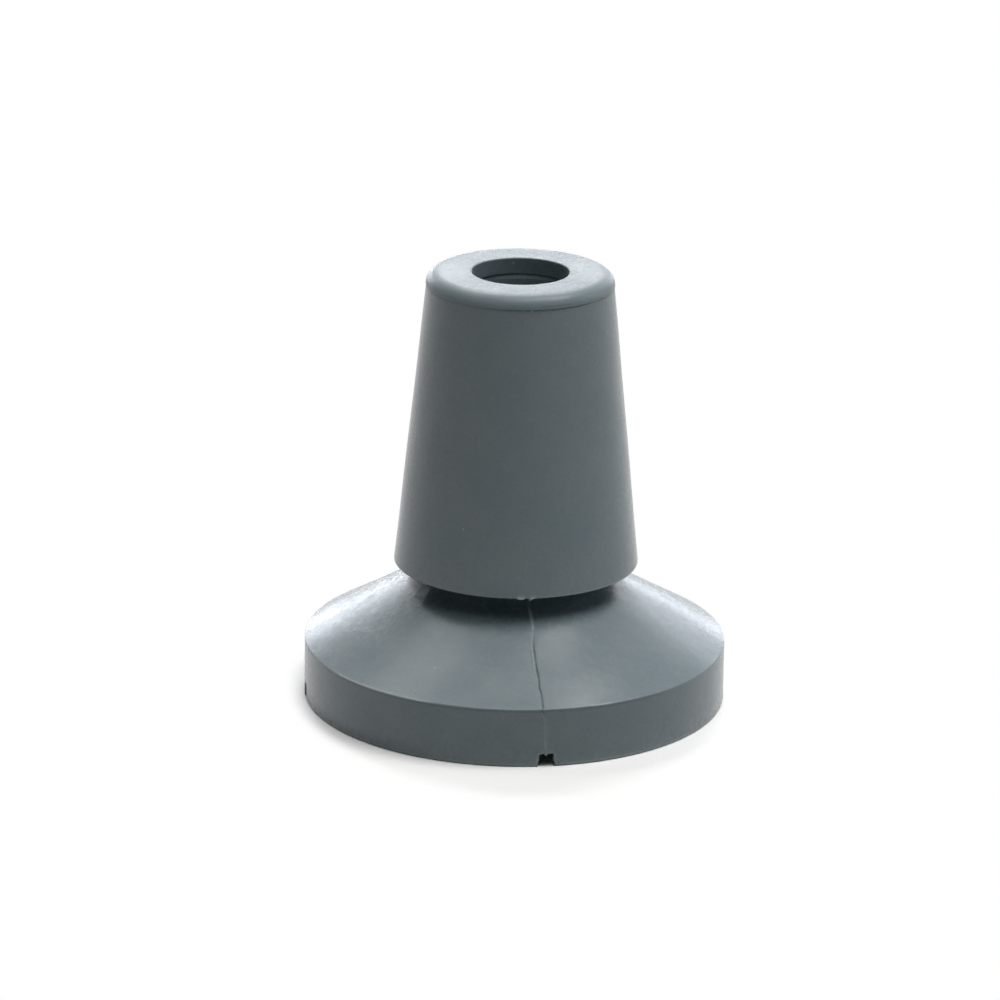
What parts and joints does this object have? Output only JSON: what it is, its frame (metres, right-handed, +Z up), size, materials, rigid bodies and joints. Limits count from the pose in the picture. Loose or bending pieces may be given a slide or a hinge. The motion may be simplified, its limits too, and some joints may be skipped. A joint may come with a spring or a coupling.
{
  "type": "cane tip",
  "caption": "Moulded rubber cane tip: a tapered socket with a blind bore for the shaft, a narrow neck under it, and a wide conical foot on a ringed tread with channels out through the rim.",
  "frame": {"origin": "middle of the ground face, at the bottom of the bounding box", "axes": "+Z up the bore and out of its mouth; the tread's channels run along X and Y"},
  "size_m": [0.0702, 0.0702, 0.0729],
  "materials": {
    "moulded_rubber": "satin, compression moulded, with a fine parting line"
  },
  "bodies": {
    "root": {"cane_tip": "moulded_rubber"}
  },
  "joints": []
}
